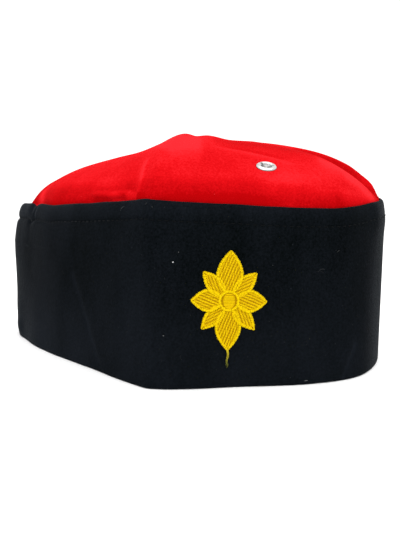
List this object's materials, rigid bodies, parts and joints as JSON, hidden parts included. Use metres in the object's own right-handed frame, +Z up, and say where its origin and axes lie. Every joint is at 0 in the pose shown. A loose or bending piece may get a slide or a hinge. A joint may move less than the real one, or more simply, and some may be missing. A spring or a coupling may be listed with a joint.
{
  "type": "songkok",
  "caption": "Songkok with a stiff black velvet side band, a soft creased red velvet crown, a metal vent eyelet and a yellow embroidered rosette.",
  "frame": {"origin": "on the surface that the hat stands on, under the middle of its length and width", "axes": "+Y from the front of the hat to its rear, +Z up, -X on the wearer's right side"},
  "size_m": [0.1481, 0.2307, 0.1258],
  "materials": {
    "black_velvet": "matt bluish-black velvet with a soft sheen at grazing angles",
    "red_velvet": "matt bright red velvet with a soft sheen and brushed nap",
    "nickel": "bright nickel plate",
    "yellow_thread": "satin-stitched lustrous yellow thread"
  },
  "bodies": {
    "root": {"side_band": "black_velvet", "crown": "red_velvet", "eyelet": "nickel", "emblem": "yellow_thread"}
  },
  "joints": []
}
